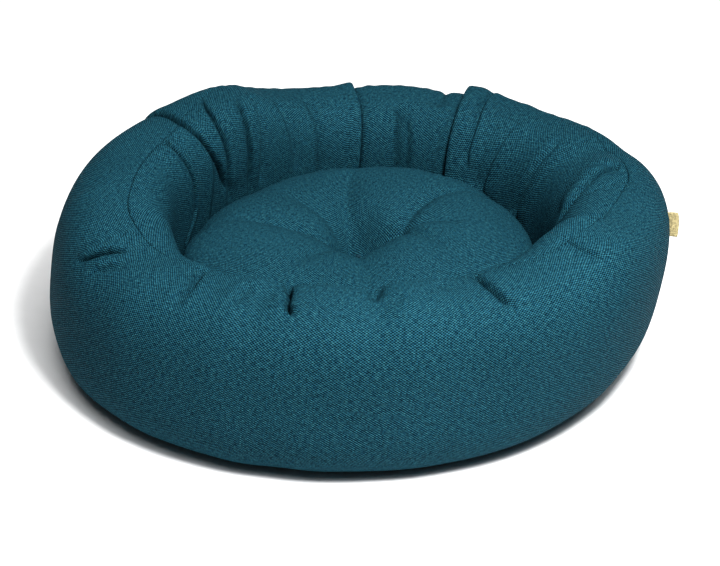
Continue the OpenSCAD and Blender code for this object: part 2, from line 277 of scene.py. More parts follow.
def fold_shape(phi_d, theta_d):
    """How far the folds lift the cloth, how far they draw it round the ring, in mm, and how much
    painted shade darkens the cloth's colour along their creases."""
    lift = np.zeros(phi_d.shape)
    draw = np.zeros(phi_d.shape)
    dark = np.zeros(phi_d.shape)
    scale = round_mm(theta_d)
    for f in FOLDS:
        low, high = f.route[0][0], f.route[-1][0]
        s = turn(phi_d, soft_line(theta_d, f.route)) * scale
        reach = 6 * max(f.width, f.up[1] * bool(f.up[0]), f.down[1] * bool(f.down[0]))
        at = np.nonzero((np.abs(s) < reach) & (theta_d > low) & (theta_d < high))
        s, t = s[at], theta_d[at]
        along = smooth((t - low) / f.fade) * smooth((high - t) / f.fade)
        hangs = np.where(s > 0, f.up[2] > f.down[2], f.down[2] > f.up[2])
        u = np.abs(s) / (f.width * np.where(hangs, HUNG, f.far))
        shape = -f.depth * (1 - f.wide) * bell(u, 1, 1.5)
        shape = shape - f.depth * f.wide * bell(u, HOLLOW)
        shift = -np.sign(s) * f.depth * GATHER * u * np.exp(-u)
        lip = f.width * LIP
        for side, (height, width, lean) in ((1, f.up), (-1, f.down)):
            if height:
                # the roll is highest beside the crease, and its lip hangs over it
                away = s * side - lip
                roll = smooth(s * side / lip) * bell(np.maximum(away, 0), width, 1.5)
                shape = shape + height * roll
                shift = shift - side * lean * bell(away, lip + width / 4)
        lift[at] += shape * along
        draw[at] += shift * along
        # painted shade: the colour is drawn darker along each crease, wider on the side that no roll
        # hangs over, and only for folds deeper than 4 mm
        beside = np.where(hangs, 0.8, 2.4) * f.width
        shadow = 0.45 * bell(s, 0.7 * f.width) + 0.2 * bell(s, beside)
        dark[at] = np.maximum(dark[at], shadow * along * smooth((f.depth - 4) / 12))
    return lift, draw, dark


SECTION_MM = 1.6                 # about how far along the section one degree reaches, in mm


def groove(distance, depth, width, power):
    return -depth * bell(distance, width, power)


def seam_shape(phi_d, theta_d):
    """The grooves that the crest seam and the joining seam press into the cover."""
    from_crest = np.abs(theta_d - crest_angle(phi_d)) * SECTION_MM
    pressed = groove(from_crest, 1.9, 0.9, 1.3) + groove(from_crest, 0.5, 5, 2)
    from_join = np.abs(turn(phi_d, JOIN_AT) * RING_R * math.pi / 180)
    below = smooth((crest_angle(phi_d) - theta_d) / 2)
    return pressed + groove(from_join, 1.5, 1.1, 1.5) * below


def puckers(phi_d, theta_d):
    """Faint unevenness of hand-stuffed cloth, finer close to the crest seam."""
    rng = np.random.default_rng(7)
    total = np.zeros(phi_d.shape)
    for _ in range(22):
        k, m = rng.integers(5, 34), rng.uniform(-0.06, 0.06)
        total += rng.uniform(0.05, 0.32) * np.cos(
            np.radians(k * phi_d) + m * theta_d + rng.uniform(0, 6.28)) * (12 / (k + 6))
    near_crest = bell(theta_d - crest_angle(phi_d), 14)
    for _ in range(16):
        k = rng.integers(40, 150)
        total += 0.13 * near_crest * np.cos(np.radians(k * phi_d) + rng.uniform(0, 6.28))
    return total * (1 - held_true(phi_d, theta_d))


def ring_point(phi_d, theta_d, lift, draw=0.0):
    """Points of the plain ring moved outwards by lift and round the ring by draw, in mm."""
    phi_d, theta_d = np.broadcast_arrays(np.asarray(phi_d, float), np.asarray(theta_d, float))
    p = plain_ring(phi_d, theta_d)
    step = 0.3
    round_ = unit(plain_ring(phi_d + step, theta_d) - plain_ring(phi_d - step, theta_d))
    up_ = unit(plain_ring(phi_d, theta_d + step) - plain_ring(phi_d, theta_d - step))
    normal = unit(np.cross(round_, up_))
    return p + normal * np.asarray(lift)[..., None] + round_ * np.asarray(draw)[..., None]


def ring_surface(phi_d, theta_d, depth=0.0, detail=True):
    """Points of the finished ring at a depth under its cloth's face, in mm."""
    phi_d, theta_d = np.broadcast_arrays(np.asarray(phi_d, float), np.asarray(theta_d, float))
    lift, draw, _ = fold_shape(phi_d, theta_d)
    if detail:
        lift = lift + seam_shape(phi_d, theta_d) + puckers(phi_d, theta_d)
    p = ring_point(phi_d, theta_d, lift - depth, draw)
    above = np.maximum(p[..., 2] + depth - EAR_FROM, 0)
    p[..., 2] = p[..., 2] - above + EAR_ROOM * np.tanh(above / EAR_ROOM)
    p[..., 2] = np.maximum(p[..., 2], LOWEST)
    return p


# ---------------------------------------------------------------- mesh building

def new_object(name, data):
    obj = bpy.data.objects.new(name, data)
    bpy.context.scene.collection.objects.link(obj)
    return obj


def read(items, attribute, width=1, kind=float):
    """One attribute of all the items of a mesh, as an array."""
    values = np.empty(len(items) * width, kind)
    items.foreach_get(attribute, values)
    return values.reshape(-1, width) if width > 1 else values


def make_object(name, verts, faces, uv=None, material=None, around=0.0):
    """A mesh object. Where its weave runs round a closed loop, around is how far that is."""
    mesh = bpy.data.meshes.new(name)
    mesh.from_pydata((np.asarray(verts) * MM).tolist(), [], faces)
    mesh.update()
    if uv is not None:
        map_ = mesh.uv_layers.new(name="weave")
        loops = read(mesh.loops, "vertex_index", kind=int)
        placed = np.asarray(uv)[loops]
        starts = read(mesh.polygons, "loop_start", kind=int)
        furthest = np.repeat(np.maximum.reduceat(placed[:, 0], starts),
                             np.diff(np.append(starts, len(loops))))
        if around:
            placed[:, 0] += around * (furthest - placed[:, 0] > around / 2)
        map_.data.foreach_set("uv", placed.ravel())
    mesh.polygons.foreach_set("use_smooth", [True] * len(mesh.polygons))
    if material:
        mesh.materials.append(material)
    return new_object(name, mesh)


def paint_crease_shade(obj, phi_d, theta_d):
    """Notes at each point of a cover panel's face how much painted shade the folds' creases give it,
    in a mesh attribute.
    """
    values = np.zeros(len(obj.data.vertices))
    dark = fold_shape(*np.broadcast_arrays(np.asarray(phi_d, float), theta_d))[2].ravel()
    values[:len(dark)] = np.clip(dark, 0, 1)
    obj.data.attributes.new("painted_crease_shade", "FLOAT", "POINT").data.foreach_set("value", values)


def grid_quads(rows, cols, wrap):
    """Quads of a grid of points stored row by row; wrap joins the last column to the first."""
    i = np.arange(rows - 1)[:, None]
    j = np.arange(cols if wrap else cols - 1)[None, :]
    a, b = i * cols + j, i * cols + (j + 1) % cols
    return np.stack([a, b, b + cols, a + cols], axis=-1).reshape(-1, 4)


def rim_quads(quads, n):
    """Quads that join the free edges of a face sheet to those of its copy n points later."""
    edges = np.concatenate([quads[:, [k, (k + 1) % 4]] for k in range(4)])
    key = np.sort(edges, axis=1)
    _, first, count = np.unique(key, axis=0, return_index=True, return_counts=True)
    free = edges[first[count == 1]]
    return np.stack([free[:, 1], free[:, 0], free[:, 0] + n, free[:, 1] + n], axis=-1)


def cloth(name, front, back, faces, material, u, v, around, step=1):
    """The object for a sheet's two grids of points. u and v place the weave, in mm. The back has
    every step-th point of the front."""
    v = lengths_down(front) if v is None else v
    uv = np.stack(np.broadcast_arrays(u, v), axis=-1)
    uv = np.concatenate([uv.reshape(-1, 2), uv[::step, ::step].reshape(-1, 2)]) * MM
    verts = np.concatenate([front.reshape(-1, 3), back.reshape(-1, 3)])
    return make_object(name, verts, faces, uv, material, around * MM)


def shell(name, front, back, material, u, v=None, wrap=True, keep=None, around=0.0):
    """A closed sheet between two grids of points."""
    rows, cols = front.shape[:2]
    n = rows * cols
    quads = grid_quads(rows, cols, wrap)
    if keep is not None:
        quads = quads[keep.ravel()]
    faces = np.concatenate([quads, quads[:, ::-1] + n, rim_quads(quads, n)]).tolist()
    return cloth(name, front, back, faces, material, u, v, around)


def fine_shell(name, front, back, material, u, v=None, around=0.0):
    """As shell, round a closed loop, with a back at half the front's fineness. The grid has an odd
    number of rows and an even number of columns."""
    rows, cols = front.shape[:2]
    back = back[::2, ::2]
    n, half = rows * cols, cols // 2
    quads = grid_quads(rows, cols, True)
    inner = grid_quads(back.shape[0], half, True)[:, ::-1] + n
    faces = quads.tolist() + inner.tolist()
    for row, back_row, flip in ((0, 0, False), (rows - 1, back.shape[0] - 1, True)):
        for k in range(half):
            f = [row * cols + (2 * k + i) % cols for i in range(3)]
            b = [n + back_row * half + (k + i) % half for i in range(2)]
            for face in ([f[0], b[0], f[1]], [f[1], b[0], b[1]], [f[1], b[1], f[2]]):
                faces.append(face[::-1] if flip else face)
    return cloth(name, front, back, faces, material, u, v, around, step=2)


def tube(name, paths, radius, sides, material, closed=False):
    """Round rods along paths of points."""
    verts, faces, base = [], [], 0
    for path in paths:
        path = np.asarray(path, float)
        n = len(path)
        if closed:
            ahead = np.roll(path, -1, axis=0) - np.roll(path, 1, axis=0)
        else:
            ahead = np.gradient(path, axis=0)
        ahead = unit(ahead)
        side = unit(np.cross(ahead, [0.013, 0.017, 1.0]))
        other = np.cross(side, ahead)
        a = np.arange(sides) * 2 * math.pi / sides
        ring = side[:, None] * np.cos(a)[None, :, None] + other[:, None] * np.sin(a)[None, :, None]
        verts.append((path[:, None] + radius * ring).reshape(-1, 3))
        quads = grid_quads(n + (1 if closed else 0), sides, True)
        faces += (base + (quads % (n * sides) if closed else quads)).tolist()
        if not closed:
            faces.append((base + np.arange(sides))[::-1].tolist())
            faces.append((base + (n - 1) * sides + np.arange(sides)).tolist())
        base += n * sides
    return make_object(name, np.concatenate(verts), faces, None, material)


# ---------------------------------------------------------------- materials

class Graph:
    """A short way to write node graphs: values go in, sockets come out."""

    def __init__(self, name):
        self.material = bpy.data.materials.new(name)
        self.material.use_nodes = True
        self.nodes = self.material.node_tree.nodes
        self.links = self.material.node_tree.links
        self.shader = self.nodes["Principled BSDF"]

    def put(self, socket, value):
        if isinstance(value, bpy.types.NodeSocket):
            self.links.new(value, socket)
        else:
            socket.default_value = value

    def add(self, kind, inputs, out=0, **settings):
        node = self.nodes.new(kind)
        for key, value in settings.items():
            setattr(node, key, value)
        for key, value in inputs.items():
            self.put(node.inputs[key], value)
        return node.outputs[out]

    def math(self, operation, a, b=0.0, c=0.0):
        return self.add("ShaderNodeMath", {0: a, 1: b, 2: c}, operation=operation)

    def mix(self, factor, a, b):
        return self.add("ShaderNodeMix", {0: factor, 6: a, 7: b}, out=2, data_type="RGBA")

    def scaled(self, colour, factor):
        return self.add("ShaderNodeVectorMath", {0: colour, 3: factor}, operation="SCALE")

    def ramp(self, value, low, high, to_low=0.0, to_high=1.0):
        return self.add("ShaderNodeMapRange", {0: value, 1: low, 2: high, 3: to_low, 4: to_high})

    def noise(self, vector, scale, detail=2.0, roughness=0.5):
        return self.add("ShaderNodeTexNoise", {"Vector": vector, "Scale": scale,
                                               "Detail": detail, "Roughness": roughness})

    def combine(self, x, y, z=0.0):
        return self.add("ShaderNodeCombineXYZ", {0: x, 1: y, 2: z})

    def uv(self):
        uv = self.add("ShaderNodeUVMap", {}, uv_map="weave")
        split = self.nodes.new("ShaderNodeSeparateXYZ")
        self.links.new(uv, split.inputs[0])
        return split.outputs[0], split.outputs[1]

    def place(self):
        return self.add("ShaderNodeTexCoord", {}, out=3)

    def bump(self, height, distance, strength=1.0):
        return self.add("ShaderNodeBump", {"Height": height, "Distance": distance,
                                           "Strength": strength})

    def finish(self, **inputs):
        for key, value in inputs.items():
            self.put(self.shader.inputs[key.replace("_", " ")], value)
        return self.material


def rgb(r, g, b):
    return (r, g, b, 1.0)


def woven(name, yarn_a, yarn_b, pit, cell=(2.35, 1.6), depth=0.45, sheen=0.006, tint=None):
    """Plain-woven cloth: yarns over and under each other, with pits between and uneven yarns, and
    painted shade along the creases that its mesh marks.
    """
    g = Graph(name)
    u, v = g.uv()
    where = g.place()
    drift = g.math("MULTIPLY", g.math("SUBTRACT", g.noise(where, 16.0, 1.0), 0.5), 0.0036)
    u = g.math("ADD", u, drift)
    v = g.math("SUBTRACT", v, drift)
    across = g.math("MULTIPLY", u, math.pi / (cell[0] * MM))
    upward = g.math("MULTIPLY", v, math.pi / (cell[1] * MM))
    check = g.math("MULTIPLY", g.math("COSINE", across), g.math("COSINE", upward))
    face = g.ramp(check, -0.7, 0.8)
    weft = g.noise(g.combine(g.math("MULTIPLY", u, 150.0), g.math("MULTIPLY", v, 620.0)), 1.0, 2.0)
    warp = g.noise(g.combine(g.math("MULTIPLY", u, 420.0), g.math("MULTIPLY", v, 160.0)), 1.0, 2.0)
    yarn = g.mix(g.ramp(weft, 0.36, 0.64), yarn_a, yarn_b)
    yarn_tone_and_crease_shade = g.ramp(g.math("ADD", weft, warp), 0.75, 1.25, 0.55, 1.45)
    broad = g.ramp(g.noise(where, 7.0, 2.0), 0.3, 0.7, 0.93, 1.07)
    yarn_tone_and_crease_shade = g.math("MULTIPLY", yarn_tone_and_crease_shade, broad)
    # painted shade: the colour is darkened, down to 22%, where the mesh marks the folds' creases
    painted_crease_shade = g.add("ShaderNodeAttribute", {}, out=2, attribute_name="painted_crease_shade")
    yarn_tone_and_crease_shade = g.math("MULTIPLY", yarn_tone_and_crease_shade, g.ramp(painted_crease_shade, 0.0, 1.0, 1.0, 0.22))
    colour = g.scaled(g.mix(face, pit, yarn), yarn_tone_and_crease_shade)
    fuzz = g.noise(where, 1900.0, 2.0)
    height = g.math("ADD", face, g.math("MULTIPLY", fuzz, 0.3))
    return g.finish(Base_Color=colour, Roughness=g.ramp(face, 0.0, 1.0, 0.9, 0.66),
                    Specular_IOR_Level=0.03, Sheen_Weight=sheen, Sheen_Roughness=0.4,
                    Sheen_Tint=tint or rgb(0.25, 0.6, 0.8), Normal=g.bump(height, depth * MM, 0.9))


def threaded(name, colour, dark):
    """Twisted sewing thread."""
    g = Graph(name)
    where = g.place()
    twist = g.add("ShaderNodeTexWave", {"Vector": where, "Scale": 500.0, "Distortion": 2.0})
    tint = g.mix(g.noise(where, 300.0), colour, dark)
    return g.finish(Base_Color=tint, Roughness=g.ramp(twist, 0.0, 1.0, 0.7, 0.9),
                    Specular_IOR_Level=0.1,
                    Normal=g.bump(twist, 0.0002, 0.6))


def fibre(name, light, shade_):
    """Loose polyester stuffing or a plain casing cloth."""
    g = Graph(name)
    where = g.place()
    strands = g.noise(where, 120.0, 5.0, 0.7)
    return g.finish(Base_Color=g.mix(g.ramp(strands, 0.35, 0.65), light, shade_),
                    Roughness=g.ramp(strands, 0.3, 0.7, 0.95, 0.8),
                    Normal=g.bump(strands, 0.003, 0.8))


def moulded(name, colour, scuffed, metallic=0.0):
    """Moulded zip coil, or lacquered zip metal with rubbed edges."""
    g = Graph(name)
    where = g.place()
    rub = g.noise(where, 240.0, 3.0, 0.6)
    return g.finish(Base_Color=g.mix(g.ramp(rub, 0.5, 0.75), colour, scuffed),
                    Roughness=g.ramp(rub, 0.3, 0.7, 0.3, 0.5), Metallic=metallic,
                    Normal=g.bump(rub, 0.0001, 0.5))


TEAL = woven("cover_cloth", rgb(0.0160, 0.091, 0.142), rgb(0.0310, 0.119, 0.146),
             rgb(0.0010, 0.009, 0.014), depth=0.6)
LINING = woven("lining_cloth", rgb(0.014, 0.055, 0.075), rgb(0.018, 0.062, 0.078),
               rgb(0.004, 0.016, 0.024), cell=(1.2, 1.2), depth=0.25)
BASE = woven("base_cloth", rgb(0.020, 0.024, 0.028), rgb(0.026, 0.030, 0.034),
             rgb(0.006, 0.007, 0.009), cell=(0.9, 0.9), depth=0.2, sheen=0.05)
TAPE = woven("zip_tape", rgb(0.010, 0.040, 0.056), rgb(0.013, 0.046, 0.060),
             rgb(0.005, 0.018, 0.026), cell=(0.8, 0.6), depth=0.15, sheen=0.1)
RIBBON = woven("label_ribbon", rgb(0.56, 0.49, 0.29), rgb(0.50, 0.43, 0.24),
               rgb(0.28, 0.23, 0.11), cell=(0.55, 0.45), depth=0.12, sheen=0.15,
               tint=rgb(1.0, 0.95, 0.8))
THREAD = threaded("thread", rgb(0.014, 0.050, 0.070), rgb(0.008, 0.030, 0.042))
CASING = fibre("casing_cloth", rgb(0.62, 0.60, 0.55), rgb(0.48, 0.46, 0.42))
STUFFING = fibre("stuffing", rgb(0.85, 0.84, 0.82), rgb(0.65, 0.64, 0.62))
COIL = moulded("zip_chain", rgb(0.012, 0.036, 0.048), rgb(0.03, 0.07, 0.09))
METAL = moulded("zip_metal", rgb(0.10, 0.12, 0.13), rgb(0.32, 0.34, 0.35), metallic=0.8)
RUBBER = moulded("grip_dots", rgb(0.010, 0.011, 0.012), rgb(0.030, 0.031, 0.033))


def done(piece, body, slot, *nodes, fill=None):
    """Hides the CAD nodes that a finished piece stands for and attaches the piece to its body; the
    slot is not used.
    """
    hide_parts(*nodes)
    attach(piece, body)
    return piece


# ---------------------------------------------------------------- ring: cover

def spaced(step, fine_step, windows):
    """Degrees round the ring, closer together inside the windows; an even number of them."""
    fine = np.arange(0, 360, 0.05)
    need = np.full(fine.shape, 1 / step)
    for low, high in windows:
        inside = (turn(fine, (low + high) / 2) ** 2) < ((high - low) / 2) ** 2
        need[inside] = 1 / fine_step
    total = np.concatenate([[0], np.cumsum(need) * 0.05])
    count = 2 * round(total[-1] / 2)
    return np.interp(np.arange(count) * total[-1] / count, total, np.append(fine, 360.0))


SLOT_HALF = 4.2 / SECTION_MM      # half the zip's opening, in section degrees
BESIDE_CREST = np.array([0, 0.3, 0.7, 1.2, 2.0, 3.2, 5.0])      # rows beside the seam, in degrees


def wall_faces(columns, rows, crest):
    """The face and the back of a wall's cloth, whose edge at the crest turns into the seam."""
    turned = 0.9 * (np.abs(rows - crest) < 0.01)
    return [ring_surface(columns[None, :], rows, depth + turned) for depth in (0, CLOTH_T)]


columns = spaced(0.8, 0.36, [(58, 74), (88, 98), (144, 168), (-12, 14), (198, 212), (226, 300),
                             (315, 324)])
exact = np.array([JOIN_AT % 360 - 0.25, JOIN_AT % 360, JOIN_AT % 360 + 0.25, *ZIP_SPAN])
columns = np.unique(np.concatenate([
    columns[np.abs(turn(columns[:, None], exact)).min(axis=1) > 0.2], exact]))
low_rows = np.concatenate([
    np.linspace(FOOT_OUT, ZIP_AT - SLOT_HALF, 7)[:-1],
    [ZIP_AT - SLOT_HALF, ZIP_AT + SLOT_HALF],
    np.linspace(ZIP_AT + SLOT_HALF, -20, 6)[1:]])
crest = crest_angle(columns)
spread = 1 - (1 - np.linspace(0, 1, 46)[1:]) ** 1.4
last = crest[None, :] - BESIDE_CREST[-1]
rows = np.concatenate([low_rows[:, None] + 0 * crest[None, :],
                       -20 + (last + 20) * spread[:, None],
                       crest[None, :] - BESIDE_CREST[-2::-1, None]])
slot_row = np.nonzero(low_rows == ZIP_AT - SLOT_HALF)[0][0]
keep = np.ones((len(rows) - 1, len(columns)), bool)
keep[slot_row, (columns >= ZIP_SPAN[0]) & (columns < ZIP_SPAN[1])] = False
front, back = wall_faces(columns, rows, crest)
outer_wall = shell("outer_wall", front, back, TEAL, np.radians(columns)[None, :] * RING_R,
                   keep=keep, around=2 * math.pi * RING_R)
paint_crease_shade(outer_wall, columns[None, :], rows)
done(outer_wall, "bolster", "cover_cloth", "outer_wall_panel", fill=0.8)

columns = spaced(0.58, 0.275, [(18, 32), (40, 68), (73, 97), (124, 168), (-12, 12), (198, 212),
                             (226, 234), (244, 258), (264, 276), (290, 302), (328, 340)])
crest = crest_angle(columns)
low = crest[None, :] + BESIDE_CREST[-1]
rows = np.concatenate([crest[None, :] + BESIDE_CREST[:-1, None],
                       low + (FOOT_IN - low) * np.linspace(0, 1, 71)[:, None] ** 1.15])
front, back = wall_faces(columns, rows, crest)
inner_wall = fine_shell("inner_wall", front, back, TEAL,
                        np.radians(columns)[None, :] * RING_R * 0.75,
                        around=2 * math.pi * RING_R * 0.75)
paint_crease_shade(inner_wall, columns[None, :], rows)
done(inner_wall, "bolster", "cover_cloth", "inner_wall_panel", fill=0.8)


def disc(name, edge, z_low, z_high, rings, material):
    """A flat cloth disc that follows the outline given."""
    centre = edge.mean(axis=0)
    shares = np.linspace(0.01, 1, rings)[::-1]
    flat = centre + (edge - centre) * shares[:, None, None]
    front = np.concatenate([flat, np.full(flat.shape[:2] + (1,), z_high)], axis=-1)
    back = front * [1, 1, 0] + [0, 0, z_low]
    return shell(name, front, back, material, front[..., 0], front[..., 1])


phi = np.arange(0, 360) * 1.0
foot = ring_surface(phi, np.full(360, FOOT_OUT), 0.0, False)[:, :2]
base = disc("base_panel", foot, 0.5, BASE_T, 24, BASE)
done(base, "bolster", "base_cloth", "base_panel")
inside = ring_surface(phi, np.full(360, FOOT_IN), 0.0, False)[:, :2]
lining = disc("well_floor_lining", inside, BASE_T + 0.2, LINING_TOP, 20, LINING)
done(lining, "bolster", "lining_cloth", "well_floor_lining")


def grip_dots():
    """Rows of rubber dots under the base cloth, which keep the bed from sliding."""
    verts, faces, n = [], [], 0
    a = np.arange(8) * math.pi / 4
    rings = [(2.0, 0.9), (2.2, 0.45), (1.5, 0.08)]
    centre, apart = foot.mean(axis=0), 15.0
    margin, furthest = 14, 345
    for i in range(-30, 31):
        for j in range(-30, 31):
            at = centre + [apart * (i + 0.5 * (j % 2)), apart * 0.866 * j]
            from_edge = np.linalg.norm(foot - at, axis=1).min()
            if from_edge < margin or np.hypot(*(at - centre)) > furthest:
                continue
            for r, z in rings:
                verts += [(at[0] + r * c, at[1] + r * d, z) for c, d in zip(np.cos(a), np.sin(a))]
            for k in range(2):
                faces += (n + k * 8 + grid_quads(2, 8, True)[:, ::-1]).tolist()
            faces += [(n + np.arange(8)).tolist(), (n + 16 + np.arange(8))[::-1].tolist()]
            n += 24
    return make_object("base_grip_dots", verts, faces, None, RUBBER)


done(grip_dots(), "bolster", "base_cloth", "base_panel")

# ---------------------------------------------------------------- ring: inside and seams

TURN_T = 1.2                     # the turned-in edges, just under the cover's cloth
TURN_IN = CLOTH_T + 0.15
SEAM_TURN = 10.0
CASING_IN = TURN_IN + TURN_T + 3.0
CASING_T = 0.8


def inner_skin(depth, floor_z):
    """The ring under its cover: it stays below the folds, which only pinch the cover."""
    fine = np.arange(1440) * 0.25
    theta = np.arange(-110.0, 250.0, 4.0)
    lift = fold_shape(*np.meshgrid(fine, theta))[0]
    low = np.minimum(np.min([np.roll(lift, k, axis=1) for k in range(-10, 11, 2)], axis=0), 0)
    low = np.mean([np.roll(low, k, axis=1) for k in range(-4, 5)], axis=0)[:, ::5]
    low = np.min([np.roll(low, k, axis=0) for k in (-1, 0, 1)], axis=0)
    p = ring_point(fine[None, ::5], theta[:, None], low - depth)
    p[..., 2] = np.maximum(p[..., 2], floor_z)
    return p


def closed_skins(name, skins, material, capped=False):
    """Skins, one inside the other: closed tubes, or forms with a flat cap at each pole."""
    verts, faces = [], []
    for k, skin in enumerate(skins):
        rows, cols = skin.shape[:2]
        n = rows * cols
        quads = (grid_quads(rows if capped else rows + 1, cols, True) % n).tolist()
        if capped:
            quads += [list(range(cols - 1, -1, -1)), list(range(n - cols, n))]
        faces += [[k * n + v for v in (f if k % 2 == 0 else f[::-1])] for f in quads]
        verts.append(skin.reshape(-1, 3))
    return make_object(name, np.concatenate(verts), faces, None, material)


casing = closed_skins("bolster_casing_bag", [inner_skin(CASING_IN, LINING_TOP + 0.2),
                                             inner_skin(CASING_IN + CASING_T, LINING_TOP + 1.0)],
                      CASING)
done(casing, "bolster", "casing_cloth", "bolster_casing", fill=0.8)
stuffing = closed_skins("bolster_stuffing", [inner_skin(CASING_IN + CASING_T + 0.3,
                                                        LINING_TOP + 1.3)], STUFFING)
done(stuffing, "bolster", "stuffing", "bolster_filling", fill=0.8)


def joined(name, parts, material):
    """One piece from several strips of cloth."""
    verts, faces, uvs, n = [], [], [], 0
    for part in parts:
        mesh = part.data
        verts.append(read(mesh.vertices, "co", 3) / MM)
        faces += [[n + v for v in f.vertices] for f in mesh.polygons]
        by_vertex = np.zeros((len(mesh.vertices), 2))
        by_vertex[read(mesh.loops, "vertex_index", kind=int)] = read(mesh.uv_layers[0].data, "uv", 2)
        uvs.append(by_vertex)
        n += len(mesh.vertices)
        bpy.data.objects.remove(part)
    return make_object(name, np.concatenate(verts), faces, np.concatenate(uvs), material)


def wall_strip(phi_d, theta_d, depth, thick, material, wrap=True):
    """A strip of cloth under the cover, following it."""
    front = ring_surface(phi_d, theta_d, depth)
    back = ring_surface(phi_d, theta_d, depth + thick)
    return shell("strip", front, back, material, np.radians(phi_d) * RING_R, wrap=wrap)


def turned_edges(name, node, phi_d, middle, width, near=0.15):
    """The two edges that a seam turns in, lying open on each side of it."""
    offsets = np.array([near, near + 0.6, (width + near) / 2, width]) / SECTION_MM
    strips = [wall_strip(phi_d[None, :], middle + side * offsets[::side, None], TURN_IN, TURN_T,
                         TEAL) for side in (-1, 1)]
    done(joined(name, strips, TEAL), "bolster", "cover_cloth", node)


PER_STITCH = 5                   # points that draw one stitch
SWING, SWING_IN = 0.9, 0.35      # how far a stitch swings to the side, and how far into the cloth
THREAD_IN = CLOTH_T + 0.8        # how deep the stitches lie


def swings(stitches):
    """How a row of stitches swings from side to side, from point to point."""
    return np.sin(np.arange(stitches * PER_STITCH) * 2 * math.pi / PER_STITCH)


def sew(name, node, path, body="bolster", closed=True):
    """A piece of sewing thread along a path."""
    done(tube(name, [path], 0.32, 5, THREAD, closed=closed), body, "thread", node)


def stitch_line(name, node, phi_d, middle, pitch=3.4):
    """A row of stitches right round, which weaves through the two turned-in edges."""
    line = ring_surface(phi_d, middle, THREAD_IN)
    far = lengths_down(np.concatenate([line, line[:1]]))
    swing = swings(round(far[-1] / pitch))
    at = np.arange(len(swing)) / len(swing) * far[-1]
    phi_at = np.interp(at, far, np.append(phi_d, 360.0))
    middle_at = np.interp(phi_at, phi_d, middle)
    sew(name, node, ring_surface(phi_at, middle_at + swing * SWING / SECTION_MM,
                                 THREAD_IN + SWING_IN * np.abs(swing)))


turned_edges("crest_seam_edges", "crest_seam_allowance", columns, crest, SEAM_TURN)
stitch_line("crest_seam_stitches", "crest_seam_thread", columns, crest)
even = np.arange(720) * 0.5
BASE_SEAM, FLOOR_SEAM = FOOT_OUT + 9, FOOT_IN - 9
for kind, at in (("base", BASE_SEAM), ("floor", FLOOR_SEAM)):
    turned_edges(kind + "_seam_edges", kind + "_seam_allowance", even, np.full(720, at), 5.0)
    stitch_line(kind + "_seam_stitches", kind + "_seam_thread", even, np.full(720, at))

# the outer wall's ends meet in an upright seam
join_rows = np.linspace(BASE_SEAM + 5, float(crest_angle(JOIN_AT % 360)) - 7.5, 60)[:, None]
strips = []
for side in (-1, 1):
    reach = side * np.array([0.13, 0.35, 0.8, 1.4])[::side]
    strips.append(wall_strip(JOIN_AT + reach[None, :], join_rows, TURN_IN, TURN_T, TEAL, wrap=False))
done(joined("joining_seam_edges", strips, TEAL), "bolster", "cover_cloth",
     "joining_seam_allowance")
swing = swings(110)
path = ring_surface(JOIN_AT + 0.11 * swing,
                    np.linspace(join_rows[0, 0], join_rows[-1, 0], len(swing)),
                    THREAD_IN + SWING_IN * np.abs(swing))
sew("joining_seam_stitches", "joining_seam_thread", path, closed=False)

# ---------------------------------------------------------------- ring: zip and label

TAPE_W = 12.0
COIL_PITCH = 2.0
COIL_R = 388.0                   # how far out the coils lie
zip_columns = np.linspace(*ZIP_SPAN, 181)
for side, name in ((1, "zip_tape_upper"), (-1, "zip_tape_lower")):
    across = side * (0.4 + np.linspace(0, TAPE_W, 5))[::side] / SECTION_MM
    front = ring_surface(zip_columns[None, :], ZIP_AT + across[:, None], CLOTH_T + 0.5)
    back = ring_surface(zip_columns[None, :], ZIP_AT + across[:, None], CLOTH_T + 1.3)
    tape = shell(name + "_cloth", front, back, TAPE, np.radians(zip_columns)[None, :] * BED_R,
                 wrap=False)
    done(tape, "bolster", "zip_tape", name)


def zip_coil(side):
    """One side's coil: its turns reach between those of the other side."""
    length = math.radians(ZIP_SPAN[1] - ZIP_SPAN[0] - 1.0) * COIL_R
    turns, points = int(length / COIL_PITCH), 8
    t = np.arange(turns * points) / points
    ahead = (t + (0.5 if side > 0 else 0)) * COIL_PITCH / COIL_R * 180 / math.pi
    phi_at = ZIP_SPAN[0] + 0.5 + ahead
    across = side * (1.35 - 1.55 * np.cos(2 * math.pi * t))
    depth = 0.75 - 0.75 * np.sin(2 * math.pi * t)
    return ring_surface(phi_at, ZIP_AT + across / SECTION_MM, depth, False)


chain = tube("zip_coils", [zip_coil(side) for side in (-1, 1)], 0.33, 5, COIL)
done(chain, "bolster", "zip_chain", "zip_chain")
for name in ("zip_slider", "zip_pull_tab", "zip_end_stops"):
    for slot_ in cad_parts[name].material_slots:
        slot_.material = METAL

LABEL_H = 35.0
LABEL_OUT = 15.5
LABEL_AT = 30.0                  # the section angle of its middle
LABEL_IN = 1.2                   # how deep its root is sewn in
LABEL_BEND = 0.12                # the share of its length that bends round at the fold


